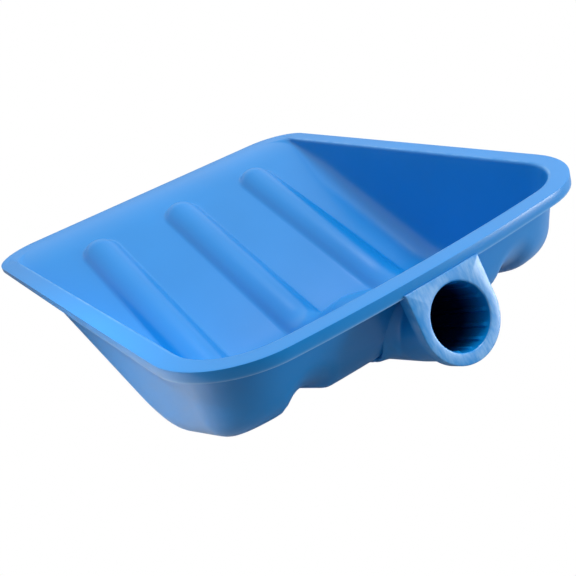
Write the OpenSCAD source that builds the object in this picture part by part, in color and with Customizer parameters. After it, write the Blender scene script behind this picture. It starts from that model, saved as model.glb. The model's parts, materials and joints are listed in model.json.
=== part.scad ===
// Mortar scoop head: a one-piece moulded pan with a rolled rim, three pressed-up
// floor ribs and a splined socket for a round handle.
//
// The pan is drawn in a rim frame (rim top at z = 0, digging edge at -Y, socket at
// +Y, right-hand side at +X) and then tipped so that it stands on its own belly and
// front edge. Units are millimetres.
//
// Every node is one region of the moulding. Neighbours share their faces, so the
// regions touch everywhere along a seam and never run into each other.

/* [Rim] */
// length of the rim from the digging edge to the back
pan_length = 350; // [300:5:420]
// width over the rim at the digging edge
front_width = 270; // [240:2:320]
// width over the rim at the back
back_width = 256; // [230:2:310]
// width of the flat rim on the sides and the back
rim_w = 12; // [9:0.5:15]
// thickness of the flat rim
rim_t = 3; // [2.5:0.1:4]
// how far the turned-down skirt hangs below the rim top at the back
skirt_drop = 6; // [5:0.5:9]
// thickness of the skirt
skirt_t = 2.4; // [2:0.1:3]
// outer radius of the two back corners
corner_r = 50; // [44:1:56]
// outer radius of the two front corners
front_r = 34; // [24:1:40]
// how far the back edge bows out at the middle
back_bow = 4; // [0:0.5:8]

/* [Pan] */
// thickness of the moulded sheet
sheet_t = 3; // [2.5:0.1:4]
// depth from front to back of the flat digging lip
lip_depth = 14; // [12:1:20]
// slope of the floor below the rim plane, in degrees
floor_slope = 22.8; // [20:0.2:25]
// slope of the belly up to the back wall, in degrees
belly_rise = 20; // [14:0.5:22]
// depth of the floor at the foot of the back wall
back_depth = 43; // [38:1:50]
// softness of the turn from the floor into the belly
belly_blend = 20; // [12:1:30]
// draft of the side walls, in degrees
side_draft = 5.5; // [3:0.5:8]
// lean of the back wall, in degrees
back_lean = 19; // [14:0.5:22]
// size of the fillet between the walls and the floor
fillet = 14; // [10:1:16]

/* [Ribs] */
// distance of the two outer ribs from the middle
rib_pitch = 69; // [62:1:74]
// half width of an outer rib
rib_half = 11; // [9:0.5:14]
// half width of the middle rib
mid_rib_half = 14; // [12:0.5:16]
// how much each rib widens on each side where it meets the back wall
rib_flare = 3; // [0:0.5:4]
// height of the ribs above the floor
rib_h = 8; // [5:0.5:10]
// distance from the digging edge to the front tips of the ribs
rib_start = 44; // [40:1:60]

/* [Socket] */
// outer radius of the collar round the mouth of the socket
socket_r = 24; // [23:0.5:26]
// thickness of the collar
collar_t = 7; // [5:0.5:9]
// outer radius of the socket behind its collar
tube_r = 21; // [20:0.5:22]
// radius of the bore between the grip splines
bore_r = 17; // [16.5:0.1:18]
// radius over the tips of the grip splines, which is the handle radius
grip_r = 16; // [15:0.1:16.4]
// number of grip splines
spline_count = 14; // [14:1:16]
// depth of the bore
bore_depth = 100; // [80:5:110]
// angle of the handle above the rim plane, in degrees
handle_tilt = 17.5; // [15:0.5:20]
// height of the mouth centre below the rim
mouth_drop = 26; // [25:0.5:28]
// how far the mouth centre stands out past the back of the rim
mouth_out = 7.5; // [6:0.5:10]
// size of the lead-in chamfer at the mouth
lead_in = 2; // [1:0.2:2.5]

/* [Hidden] */
$fn = 72;
EPS = 0.01;

pan_blue = [0.10, 0.42, 0.85];
rim_blue = [0.16, 0.48, 0.88];
socket_blue = [0.20, 0.50, 0.88];

// ---- plan of the rim ----
front_y = -pan_length / 2;
lip_y = front_y + lip_depth;
back_y = pan_length / 2 - back_bow;
corner_y = back_y - corner_r;
corner_x = half_w(corner_y) - corner_r;
inner_r = corner_r - rim_w;

function half_w(y) = front_width / 2 + (back_width - front_width) / 2 * (y - front_y) / pan_length;
// outer edge of the rim beside y, rounded at the front corners
function rim_x(y) = half_w(y) - (y < front_y + front_r
    ? front_r - sqrt(max(0, front_r * front_r - pow(front_y + front_r - y, 2))) : 0);

// ---- floor ----
floor_tan = tan(floor_slope);
rise_tan = tan(belly_rise);
wall_v = sheet_t / cos(floor_slope);
// half the length over which the lip bends down into the floor
lip_bend = 10.5;
lip_blend = lip_bend * floor_tan;
bend_y = lip_y + lip_bend;
// where the belly would meet its full height, in front of the back wall
foot_gap = 12;
foot_y = back_y - rim_w - foot_gap;

function smooth_min(a, b, k) = min(a, b) - pow(max(k - abs(a - b), 0) / k, 2) * k / 4;
function smooth_max(a, b, k) = -smooth_min(-a, -b, k);
// height of the plain floor along the pan
function base_z(y) = smooth_max(
    smooth_min(0, -floor_tan * (y - bend_y), lip_blend),
    -back_depth + rise_tan * (y - foot_y), belly_blend);
// one rib: a rounded ridge with a rounded front tip
function ridge(x, y, cx, hw) = rib_h * pow(cos(90 * min(1,
    norm([x - cx, min(0, y - (front_y + rib_start + hw))]) / (hw + flare(y)))), 2);
// widening of the ribs towards the back
flare_y = 90;
function flare(y) = rib_flare * pow(min(1, max(0, y - flare_y) / (back_y - rim_w - flare_y)), 2);
function floor_z(x, y) = base_z(y) + ridge(x, y, -rib_pitch, rib_half)
    + ridge(x, y, 0, mid_rib_half) + ridge(x, y, rib_pitch, rib_half);

// the back edge bows out: the same shift for every point of the shell
function bow(x, y) = back_bow * max(0, 1 - pow(x / corner_x, 2)) * pow(max(0, y) / back_y, 2);
function bowed(p) = [p[0], p[1] + bow(p[0], p[1]), p[2]];

// ---- wall stations: [rim point, inward direction, draft tangent, foot height] ----
side_steps = 28;
turn_steps = 8;
back_steps = 14;
wall_start = lip_y + 4;
side_tan = tan(side_draft);
back_tan = tan(back_lean);

function foot_e(z) = min(fillet, max(2, -z * 0.5));
function turn_tan(a) = side_tan + (back_tan - side_tan) * pow(sin(a), 2);
function turn_foot_r(a, z) = inner_r + z * turn_tan(a) - foot_e(z);
function turn_z(a, z, n = 6) = n == 0 ? z
    : turn_z(a, base_z(corner_y + turn_foot_r(a, z) * sin(a)), n - 1);

side_ys = [for (i = [0 : side_steps]) wall_start + (corner_y - wall_start) * i / side_steps];
turn_as = [for (i = [0 : turn_steps]) 90 * i / turn_steps];

function side_station(y) = [[half_w(y) - rim_w, y], [-1, 0], side_tan, base_z(y)];
function turn_station(a) = [[corner_x + inner_r * cos(a), corner_y + inner_r * sin(a)],
    [-cos(a), -sin(a)], turn_tan(a), turn_z(a, base_z(corner_y))];
function back_station(x) = [[x, corner_y + inner_r], [0, -1], back_tan, turn_z(90, base_z(corner_y))];

function station_at(s, d, z) = let (p = s[0] + s[1] * d) [p[0], p[1], z];
// inner face of the wall at a station, from the rim to the foot of the fillet
function wall_in(s, out = 0, down = 0, n = 5) = let (
    foot = s[3],
    dc = -foot * s[2],
    df = dc + foot_e(foot),
    pc = s[0] + s[1] * dc,
    pf = s[0] + s[1] * df,
    zc = floor_z(pc[0], pc[1]),
    zf = floor_z(pf[0], pf[1]),
    zw = zc + min(fillet, -zc * 0.6),
    w = station_at(s, -zw * s[2] - out, zw),
    c = station_at(s, dc - out, zc - down),
    f = station_at(s, df, zf - down))
    concat([station_at(s, -out, 0), station_at(s, (-zw * s[2]) / 2 - out, zw / 2)],
        [for (i = [0 : n]) let (t = i / n) w * pow(1 - t, 2) + c * 2 * t * (1 - t) + f * t * t]);
function wall_out(s) = wall_in(s, sheet_t / cos(atan(s[2])), wall_v);

function side_foot_x(y) = let (z = base_z(y)) half_w(y) - rim_w + z * side_tan - foot_e(z);
// rows of the floor: [y, half width of the floor at that y]
turn_zs = [for (a = turn_as) turn_z(a, base_z(corner_y))];
foot_rows = concat([for (y = side_ys) [y, side_foot_x(y)]],
    [for (i = [1 : turn_steps]) let (a = turn_as[i], r = turn_foot_r(a, turn_zs[i]))
        [corner_y + r * sin(a), corner_x + r * cos(a)]]);
// the ribs start to rise behind this row
tip_gap = 12;
tip_y = front_y + rib_start - tip_gap;
front_rows = concat([for (i = [0 : 3]) lip_y + (wall_start - lip_y) * i / 3],
    [for (y = side_ys) if (y > wall_start && y < tip_y) y]);
rear_rows = [for (r = foot_rows) if (r[0] >= tip_y) r];
split_y = rear_rows[0][0];

// ---- standing pose: the front edge and the belly both touch the ground ----
edge_low = [front_y, -rim_t];
belly_ys = [-40 : 2 : 120];
rest_tilt = max([for (y = belly_ys) atan2(edge_low[1] - base_z(y) + wall_v, y - edge_low[0])]);
drop = edge_low[0] * sin(rest_tilt) + edge_low[1] * cos(rest_tilt);
mouth_y = pan_length / 2 + mouth_out;
rear_y = (mouth_y + socket_r * sin(handle_tilt)) * cos(rest_tilt)
    + (mouth_drop + socket_r * cos(handle_tilt)) * sin(rest_tilt);
lead_y = edge_low[0] * cos(rest_tilt);
mid_y = (lead_y + rear_y) / 2;

module stand() {
    translate([0, -mid_y, -drop]) rotate([rest_tilt, 0, 0]) children();
}

// ---- sheets: a grid of upper points over a grid of lower points ----
module sheet(upper, lower) {
    rows = len(upper);
    cols = len(upper[0]);
    count = rows * cols;
    points = [for (g = [upper, lower]) for (r = g) for (p = r) bowed(p)];
    function at(i, j) = i * cols + j;
    function quad(a, b, c, d) = [[a, b, c], [a, c, d]];
    faces = concat(
        [for (i = [0 : rows - 2]) for (j = [0 : cols - 2]) each
            quad(at(i, j), at(i + 1, j), at(i + 1, j + 1), at(i, j + 1))],
        [for (i = [0 : rows - 2]) for (j = [0 : cols - 2]) each
            quad(count + at(i, j), count + at(i, j + 1), count + at(i + 1, j + 1), count + at(i + 1, j))],
        [for (i = [0 : rows - 2]) each
            quad(at(i, 0), count + at(i, 0), count + at(i + 1, 0), at(i + 1, 0))],
        [for (i = [0 : rows - 2]) each
            quad(at(i, cols - 1), at(i + 1, cols - 1), count + at(i + 1, cols - 1), count + at(i, cols - 1))],
        [for (j = [0 : cols - 2]) each
            quad(at(0, j), at(0, j + 1), count + at(0, j + 1), count + at(0, j))],
        [for (j = [0 : cols - 2]) each
            quad(at(rows - 1, j), count + at(rows - 1, j), count + at(rows - 1, j + 1), at(rows - 1, j + 1))]);
    polyhedron(points, faces, convexity = 6);
}

// a strip of floor between two edges, each given as a list of x, one for each row
module floor_strip(ys, left, right, cols) {
    grid = [for (i = [0 : len(ys) - 1]) [for (j = [0 : cols])
        let (x = left[i] + (right[i] - left[i]) * j / cols, y = ys[i]) [x, y, floor_z(x, y)]]];
    sheet(grid, [for (r = grid) [for (p = r) p - [0, 0, wall_v]]]);
}

module wall(stations) {
    sheet([for (s = stations) wall_in(s)], [for (s = stations) wall_out(s)]);
}

module mirrored(side) {
    if (side < 0) mirror([1, 0, 0]) children();
    else children();
}

module rear_strip(from_x, to_x, cols) {
    ys = [for (r = rear_rows) r[0]];
    floor_strip(ys, [for (r = rear_rows) from_x], [for (r = rear_rows) to_x], cols);
}

// ---- floor ----
lip_half = half_w(front_y) - front_r;
module front_lip() {
    color(pan_blue) stand() translate([-lip_half, front_y, -rim_t]) cube([2 * lip_half, lip_depth, rim_t]);
}

module front_corner(side) {
    steps = 12;
    sweep = acos(max(0, 1 - lip_depth / front_r));
    ys = [for (i = [0 : steps]) front_y + front_r * (1 - cos(sweep * i / steps))];
    color(pan_blue) stand() mirrored(side) translate([0, 0, -rim_t]) linear_extrude(rim_t)
        polygon(concat([for (y = ys) [rim_x(y), y]], [[lip_half, lip_y]]));
}
module front_corner_left() { front_corner(-1); }
module front_corner_right() { front_corner(1); }

module floor_front() {
    reach = [for (y = front_rows) side_foot_x(max(y, wall_start))];
    ys = concat(front_rows, [split_y]);
    edge = concat(reach, [rear_rows[0][1]]);
    color(pan_blue) stand() floor_strip(ys, [for (x = edge) -x], edge, 24);
}

module floor_outer(side) {
    ys = [for (r = rear_rows) r[0]];
    color(pan_blue) stand() mirrored(side)
        floor_strip(ys, [for (r = rear_rows) rib_pitch + rib_half], [for (r = rear_rows) r[1]], 5);
}
module floor_outer_left() { floor_outer(-1); }
module floor_outer_right() { floor_outer(1); }

module floor_inner(side) {
    color(pan_blue) stand() mirrored(side) difference() {
        rear_strip(mid_rib_half, rib_pitch - rib_half, 5);
        socket_envelope();
    }
}
module floor_inner_left() { floor_inner(-1); }
module floor_inner_right() { floor_inner(1); }

module rib(side) {
    color(pan_blue) stand() mirrored(side) rear_strip(rib_pitch - rib_half, rib_pitch + rib_half, 10);
}
module rib_left() { rib(-1); }
module rib_right() { rib(1); }

module rib_centre() {
    color(pan_blue) stand() difference() {
        rear_strip(-mid_rib_half, mid_rib_half, 10);
        socket_envelope();
    }
}

// ---- walls ----
module side_wall(side) {
    color(pan_blue) stand() mirrored(side) wall([for (y = side_ys) side_station(y)]);
}
module side_wall_left() { side_wall(-1); }
module side_wall_right() { side_wall(1); }

module corner_wall(side) {
    color(pan_blue) stand() mirrored(side) wall([for (a = turn_as) turn_station(a)]);
}
module corner_wall_left() { corner_wall(-1); }
module corner_wall_right() { corner_wall(1); }

back_split = rib_pitch - rib_half;
module back_wall(side) {
    color(pan_blue) stand() mirrored(side)
        wall([for (i = [0 : back_steps]) back_station(corner_x + (back_split - corner_x) * i / back_steps)]);
}
module back_wall_left() { back_wall(-1); }
module back_wall_right() { back_wall(1); }

module back_wall_centre() {
    color(pan_blue) stand() difference() {
        wall([for (i = [0 : 2 * back_steps]) back_station(back_split * (1 - i / back_steps))]);
        socket_envelope();
    }
}

// ---- rim: a flat plate outside the walls, rounded over at its outer edge ----
round_r = 2.4;
function inner_edge(s) = s[0] - s[1] * sheet_t / cos(atan(s[2]));
function plate_section(p, q, low) = let (
    dir = (q - p) / norm(q - p),
    arc = [for (i = [0 : 4]) let (a = 90 * i / 4) [round_r * sin(a), -round_r * (1 - cos(a))]])
    [concat([[p[0], p[1], 0]], [for (k = arc) let (m = q - dir * (round_r - k[0])) [m[0], m[1], k[1]]]),
     concat([[p[0], p[1], low]], [for (k = arc) let (m = q - dir * (round_r - k[0])) [m[0], m[1], low]])];

module plate(stations, edges) {
    parts = [for (i = [0 : len(stations) - 1]) plate_section(inner_edge(stations[i]), edges[i], -rim_t)];
    sheet([for (s = parts) s[0]], [for (s = parts) s[1]]);
}

function turn_edge(a, inset = 0) = [corner_x + (corner_r - inset) * cos(a), corner_y + (corner_r - inset) * sin(a)];

module rim_side(side) {
    color(rim_blue) stand() mirrored(side) {
        plate([for (y = side_ys) side_station(y)], [for (y = side_ys) [rim_x(y), y]]);
        // the short piece beside the bend of the lip
        translate([0, 0, -rim_t]) linear_extrude(rim_t)
            polygon(concat([for (i = [0 : 4]) let (y = lip_y + (wall_start - lip_y) * i / 4) [rim_x(y), y]],
                [[side_foot_x(wall_start), wall_start], [side_foot_x(wall_start), lip_y]]));
    }
}
module rim_left() { rim_side(-1); }
module rim_right() { rim_side(1); }

module rim_corner(side) {
    color(rim_blue) stand() mirrored(side)
        plate([for (a = turn_as) turn_station(a)], [for (a = turn_as) turn_edge(a)]);
}
module rim_corner_left() { rim_corner(-1); }
module rim_corner_right() { rim_corner(1); }

back_xs = [for (i = [0 : 2 * back_steps]) corner_x * (1 - i / back_steps)];
module rim_back() {
    color(rim_blue) stand() plate([for (x = back_xs) back_station(x)], [for (x = back_xs) [x, back_y]]);
}

// ---- skirt: hangs from the outer edge of the rim and fades out towards the front ----
skirt_least = 0.6;
function skirt_low(y) = -rim_t - skirt_least
    - (skirt_drop - rim_t - skirt_least) * pow(max(0, (y - front_y) / (back_y - front_y)), 1.5);
module skirt(points, lows) {
    sheet([for (i = [0 : len(points) - 1]) [for (p = points[i]) [p[0], p[1], -rim_t]]],
        [for (i = [0 : len(points) - 1]) [for (p = points[i]) [p[0], p[1], lows[i]]]]);
}

module skirt_side(side) {
    ys = [for (y = side_ys) if (y > front_y + front_r) y];
    color(rim_blue) stand() mirrored(side)
        skirt([for (y = ys) [[rim_x(y) - skirt_t, y], [rim_x(y), y]]], [for (y = ys) skirt_low(y)]);
}
module skirt_left() { skirt_side(-1); }
module skirt_right() { skirt_side(1); }

module skirt_corner(side) {
    color(rim_blue) stand() mirrored(side)
        skirt([for (a = turn_as) [turn_edge(a, skirt_t), turn_edge(a)]],
            [for (a = turn_as) skirt_low(corner_y + corner_r * sin(a))]);
}
module skirt_corner_left() { skirt_corner(-1); }
module skirt_corner_right() { skirt_corner(1); }

module skirt_back() {
    color(rim_blue) stand()
        skirt([for (x = back_xs) [[x, back_y - skirt_t], [x, back_y]]], [for (x = back_xs) skirt_low(back_y)]);
}

// ---- socket: drawn along +Z from its mouth, then laid into the pan ----
// thickness of the closed end, and how far the tube runs straight behind the mouth
end_t = 4;
straight_len = 30;
tube_taper = 3;
tube_len = bore_depth + end_t;
taper_r = tube_r - tube_taper;
shoulder_r = taper_r + (tube_r - taper_r) * end_t / (tube_len - straight_len);
module lay() {
    translate([0, mouth_y, -mouth_drop]) rotate([90 + handle_tilt, 0, 0]) children();
}

// everything the socket takes out of the pan
module socket_envelope() {
    lay() rotate_extrude() polygon([[0, -EPS], [tube_r, -EPS], [tube_r, straight_len],
        [taper_r, tube_len], [0, tube_len]]);
}

// the flat-topped collar that closes against the underside of the skirt
module socket_collar() {
    color(socket_blue) stand() difference() {
        lay() linear_extrude(collar_t) union() {
            circle(r = socket_r);
            translate([-socket_r, 0]) square([2 * socket_r, 2 * socket_r]);
        }
        lay() translate([0, 0, -EPS]) cylinder(h = lead_in + EPS, r1 = bore_r + lead_in, r2 = bore_r);
        lay() cylinder(h = collar_t + 1, r = bore_r);
        translate([-pan_length, 0, -skirt_drop]) cube([2 * pan_length, pan_length, pan_length]);
    }
}

module socket_tube() {
    color(socket_blue) stand() lay() rotate_extrude()
        polygon([[bore_r, collar_t], [tube_r, collar_t], [tube_r, straight_len],
            [shoulder_r, bore_depth], [bore_r, bore_depth]]);
}

module socket_end() {
    color(socket_blue) stand() lay() translate([0, 0, bore_depth])
        cylinder(h = end_t, r1 = shoulder_r, r2 = taper_r);
}

// the square shoulders that join the tube and the collar to the back wall
module socket_saddle() {
    color(socket_blue) stand() difference() {
        lay() translate([-tube_r, 0, collar_t]) cube([2 * tube_r, 2 * tube_r, straight_len - collar_t]);
        lay() cylinder(h = straight_len + 1, r = tube_r);
        translate([-pan_length, 0, -skirt_drop]) cube([2 * pan_length, pan_length, pan_length]);
        pan_block();
    }
}

// the inside of the pan and its back wall, as far as the saddle reaches
module pan_block() {
    s = back_station(0);
    out = sheet_t / cos(back_lean);
    top_y = s[0][1] + out + back_bow;
    translate([-pan_length, 0, 0]) rotate([90, 0, 90]) linear_extrude(2 * pan_length)
        polygon([[0, 1], [top_y, 1], [top_y, 0], [top_y - back_depth * back_tan, -back_depth], [0, -back_depth]]);
}

// the ramp that carries the middle rib up on to the end of the socket
fairing_back = 88;
fairing_front = 14;
fairing_half = 17;
fairing_rise = 27;
fairing_least = 0.4;
// rises along the pan, falls away to both sides and starts softly
function fairing_z(x, y) = let (t = (y - fairing_front) / (fairing_back - fairing_front))
    floor_z(x, y) + fairing_least + (fairing_rise - rib_h) * pow(t, 1.2)
    * pow(cos(85 * x / fairing_half), 0.6) * pow(min(1, t * 3), 0.5);
module socket_fairing() {
    rows = 14;
    cols = 12;
    upper = [for (i = [0 : rows]) [for (j = [0 : cols])
        let (y = fairing_front + (fairing_back - fairing_front) * i / rows,
            x = fairing_half * (2 * j / cols - 1)) [x, y, fairing_z(x, y)]]];
    color(socket_blue) stand() difference() {
        sheet(upper, [for (r = upper) [for (p = r) [p[0], p[1], floor_z(p[0], p[1])]]]);
        socket_envelope();
    }
}

// the splines that bite into the handle
spline_w = 2.4;
spline_from = lead_in + 2;
spline_to = bore_depth - 10;
module grip_splines() {
    color(socket_blue) stand() lay() intersection() {
        difference() {
            translate([0, 0, spline_from]) cylinder(h = spline_to - spline_from, r = bore_r);
            translate([0, 0, -1]) cylinder(h = bore_depth + 2, r = grip_r);
        }
        for (i = [0 : spline_count - 1]) rotate([0, 0, (i + 0.5) * 360 / spline_count])
            translate([0, -spline_w / 2, 0]) cube([socket_r, spline_w, bore_depth]);
    }
}

front_lip();
front_corner_left();
front_corner_right();
floor_front();
floor_outer_left();
floor_inner_left();
floor_inner_right();
floor_outer_right();
rib_left();
rib_centre();
rib_right();
side_wall_left();
side_wall_right();
corner_wall_left();
corner_wall_right();
back_wall_left();
back_wall_centre();
back_wall_right();
rim_left();
rim_right();
rim_corner_left();
rim_corner_right();
rim_back();
skirt_left();
skirt_right();
skirt_corner_left();
skirt_corner_right();
skirt_back();
socket_tube();
socket_collar();
socket_saddle();
socket_end();
socket_fairing();
grip_splines();
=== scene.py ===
"""Mortar scoop head: the visual model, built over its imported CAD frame.

The scoop is one moulding, made here as two pieces. The pan is a sheet with a turned-down rim. The
socket is one closed skin, turned round the handle's axis. Both are laid out in the rim frame (rim top
at z = 0, digging edge at -Y, socket at +Y) and then tipped into the standing pose.
"""

import json
import logging
import math
from collections.abc import Callable
from dataclasses import dataclass, field, replace
from enum import Enum

import bmesh
import bpy
import numpy as np
from mathutils import Matrix, Vector

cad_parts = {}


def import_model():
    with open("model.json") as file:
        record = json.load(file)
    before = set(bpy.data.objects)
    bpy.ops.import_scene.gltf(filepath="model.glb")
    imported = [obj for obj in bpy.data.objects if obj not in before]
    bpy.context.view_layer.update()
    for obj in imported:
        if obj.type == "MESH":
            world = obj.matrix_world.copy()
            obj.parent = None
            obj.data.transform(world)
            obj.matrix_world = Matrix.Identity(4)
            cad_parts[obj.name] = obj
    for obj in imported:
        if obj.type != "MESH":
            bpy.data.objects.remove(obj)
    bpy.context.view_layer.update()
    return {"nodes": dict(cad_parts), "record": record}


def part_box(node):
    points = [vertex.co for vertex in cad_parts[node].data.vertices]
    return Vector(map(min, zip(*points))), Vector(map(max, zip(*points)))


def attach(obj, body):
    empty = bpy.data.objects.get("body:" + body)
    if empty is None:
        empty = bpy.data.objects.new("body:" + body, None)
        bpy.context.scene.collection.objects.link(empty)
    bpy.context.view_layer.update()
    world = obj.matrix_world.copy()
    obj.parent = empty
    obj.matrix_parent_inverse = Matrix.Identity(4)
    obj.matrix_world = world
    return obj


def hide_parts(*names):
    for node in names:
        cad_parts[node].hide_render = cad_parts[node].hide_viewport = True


log = logging.getLogger("scoop")

MM = 0.001
BODY = "root"
UNDER_RIM = -4.0  # millimetres; lower points belong to the wall or the floor, not to the rim

Array = np.ndarray


# ---------------------------------------------------------------------------------------------
# Working the meshes
# ---------------------------------------------------------------------------------------------


def smoothstep(low: float, high: float, value: Array | float) -> Array:
    """A soft step from 0 at low to 1 at high."""
    t = np.clip((np.asarray(value, float) - low) / (high - low), 0.0, 1.0)
    return t * t * (3.0 - 2.0 * t)


def soft_min(a: Array | float, b: Array | float, k: float) -> Array:
    """The lower of a and b, blended over the size k."""
    a, b = np.asarray(a, float), np.asarray(b, float)
    h = np.maximum(k - np.abs(a - b), 0.0) / k
    return np.minimum(a, b) - h * h * k / 4.0


def soft_max(a: Array | float, b: Array | float, k: float) -> Array:
    """The higher of a and b, blended over the size k."""
    return -soft_min(-np.asarray(a, float), -np.asarray(b, float), k)


def activate(obj: bpy.types.Object) -> None:
    """Makes obj the only selected and active object."""
    if bpy.context.object is not None and bpy.context.object.mode != "OBJECT":
        bpy.ops.object.mode_set(mode="OBJECT")
    bpy.ops.object.select_all(action="DESELECT")
    obj.select_set(True)
    bpy.context.view_layer.objects.active = obj


def formed_grid(name: str, points: Array, marks: dict[str, Array] | None = None) -> bpy.types.Object:
    """Lays a flat grid and presses every point of it to its place.

    Args:
        name: The new object's name.
        points: Places in millimetres, with shape (rows, columns, 3).
        marks: Named values to keep on the points, each with shape (rows, columns).

    Returns:
        The formed grid.
    """
    rows, columns = points.shape[:2]
    bpy.ops.mesh.primitive_grid_add(x_subdivisions=columns - 1, y_subdivisions=rows - 1, size=2.0)
    obj = bpy.context.object
    obj.name = name
    obj.data.name = name
    flat = np.zeros(rows * columns * 3)
    obj.data.vertices.foreach_get("co", flat)
    flat = flat.reshape(-1, 3)
    column = np.rint((flat[:, 0] + 1.0) / 2.0 * (columns - 1)).astype(int)
    row = np.rint((flat[:, 1] + 1.0) / 2.0 * (rows - 1)).astype(int)
    obj.data.vertices.foreach_set("co", (points[row, column] * MM).ravel())
    obj.data.update()
    for mark, values in (marks or {}).items():
        kept = obj.data.attributes.new(mark, "FLOAT", "POINT")
        kept.data.foreach_set("value", np.asarray(values, np.float32)[row, column])
    return obj


def join(parts: list[bpy.types.Object], name: str) -> bpy.types.Object:
    """Joins parts into one object called name."""
    activate(parts[0])
    for part in parts[1:]:
        part.select_set(True)
    bpy.ops.object.join()
    obj = bpy.context.object
    obj.name = name
    obj.data.name = name
    return obj


def weld(obj: bpy.types.Object, distance: float = 0.002 * MM) -> None:
    """Merges points closer than distance, in metres, and turns every face outward."""
    activate(obj)
    bpy.ops.object.mode_set(mode="EDIT")
    bpy.ops.mesh.select_all(action="SELECT")
    bpy.ops.mesh.remove_doubles(threshold=distance)
    bpy.ops.mesh.normals_make_consistent(inside=False)
    bpy.ops.object.mode_set(mode="OBJECT")


def face_up(obj: bpy.types.Object) -> None:
    """Turns an open sheet so that its large faces look up."""
    if sum(face.normal.z * face.area for face in obj.data.polygons) < 0.0:
        activate(obj)
        bpy.ops.object.mode_set(mode="EDIT")
        bpy.ops.mesh.select_all(action="SELECT")
        bpy.ops.mesh.flip_normals()
        bpy.ops.object.mode_set(mode="OBJECT")


def thicken(obj: bpy.types.Object, thickness: float) -> None:
    """Gives a sheet its thickness, in metres, below its upper face."""
    activate(obj)
    solid = obj.modifiers.new("thickness", "SOLIDIFY")
    solid.thickness = thickness
    solid.offset = -1.0
    solid.use_even_offset = False
    solid.use_quality_normals = True
    bpy.ops.object.modifier_apply(modifier=solid.name)


def round_edges(
    obj: bpy.types.Object, width: float, angle: float, share: Callable[[Vector], float]
) -> None:
    """Rounds every edge sharper than angle.

    Args:
        obj: The object to work on.
        width: The full width of the rounding, in metres.
        angle: The least angle between the faces of a sharp edge, in degrees.
        share: Gives the part of the full width that an edge at that place takes.
    """
    shape = bmesh.new()
    shape.from_mesh(obj.data)
    weight = shape.edges.layers.float.new("bevel_weight_edge")
    for edge in shape.edges:
        if len(edge.link_faces) == 2 and edge.calc_face_angle(0.0) > math.radians(angle):
            edge[weight] = share((edge.verts[0].co + edge.verts[1].co) / 2.0)
    shape.to_mesh(obj.data)
    shape.free()
    activate(obj)
    bevel = obj.modifiers.new("round", "BEVEL")
    bevel.width = width
    bevel.segments = 3
    bevel.limit_method = "WEIGHT"
    bevel.use_clamp_overlap = True
    bpy.ops.object.modifier_apply(modifier=bevel.name)


def shade(obj: bpy.types.Object, angle: float = 40.0) -> None:
    """Shades obj smooth, keeping edges sharper than angle."""
    activate(obj)
    bpy.ops.object.shade_smooth_by_angle(angle=math.radians(angle))


# ---------------------------------------------------------------------------------------------
# Where things stand
# ---------------------------------------------------------------------------------------------


@dataclass(frozen=True)
class Pose:
    """The rim frame's place in the row frame, read from the record's rim mount and the front lip's box.
    """

    tilt: float
    origin: Vector

    @classmethod
    def read(cls, record: dict) -> "Pose":
        """Finds the pose from the mounts.

        Args:
            record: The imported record.

        Returns:
            The pose of the rim frame.
        """
        mounts = {mount["name"]: mount for mount in record["mounts"]}
        normal = Vector(mounts["rim_face"]["axis"])
        tilt = math.atan2(-normal.y, normal.z)
        low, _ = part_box("front_lip")
        turn = Matrix.Rotation(tilt, 3, "X")
        rim = RimSizes()
        upper = turn @ Vector((0.0, rim.front_y, 0.0)) * MM
        lower = turn @ Vector((0.0, rim.front_y, -rim.lip_t)) * MM
        return cls(tilt, Vector((0.0, low.y - upper.y, low.z - lower.z)))

    def place(self, obj: bpy.types.Object) -> None:
        """Tips obj from the rim frame into the row frame and keeps its place in its mesh."""
        activate(obj)
        obj.location = self.origin
        obj.rotation_euler = (self.tilt, 0.0, 0.0)
        bpy.ops.object.transform_apply(location=True, rotation=True, scale=True)


@dataclass(frozen=True)
class RimSizes:
    """Sizes of the rim and its skirt, in millimetres.

    The corners are measured at the rim's outer edge. The skirt grows from the lip's own thickness in
    front to its full hang at the back, where the rim bows out. The top outer edge is rounded by
    round_r and the other sharp edges by edge_r.
    """

    length: float = 350.0
    front_width: float = 270.0
    back_width: float = 256.0
    width: float = 12.0
    lip_t: float = 3.0
    skirt: float = 6.2
    skirt_t: float = 2.6
    corner_r: float = 50.0
    front_r: float = 34.0
    bow: float = 4.0
    round_r: float = 1.5
    edge_r: float = 0.45
    inner_round: float = 2.2

    @property
    def front_y(self) -> float:
        """The digging edge."""
        return -self.length / 2.0

    @property
    def back_y(self) -> float:
        """The back of the rim before its bow."""
        return self.length / 2.0 - self.bow

    @property
    def mid_half(self) -> float:
        """Half the width halfway along."""
        return (self.front_width + self.back_width) / 4.0

    def taper(self, y: Array) -> Array:
        """How much wider the rim is at y than halfway along."""
        t = (np.asarray(y, float) - self.front_y) / self.length
        return (self.front_width + (self.back_width - self.front_width) * t) / 2.0 / self.mid_half

    def bowed(self, points: Array) -> Array:
        """Tapers the plan and bows the back edge out.

        Args:
            points: Places laid out with straight sides, in the last axis x, y, z.

        Returns:
            The same places on the real outline.
        """
        out = np.array(points, float)
        out[..., 0] *= self.taper(points[..., 1])
        out[..., 1] += self.bow_at(out[..., 0], points[..., 1])
        return out

    def bow_at(self, x: Array, y: Array) -> Array:
        """How far the bow of the back edge moves a place back."""
        across = np.maximum(0.0, 1.0 - (x / (self.mid_half - self.corner_r)) ** 2)
        return self.bow * across * (np.maximum(0.0, y) / self.back_y) ** 2


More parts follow.
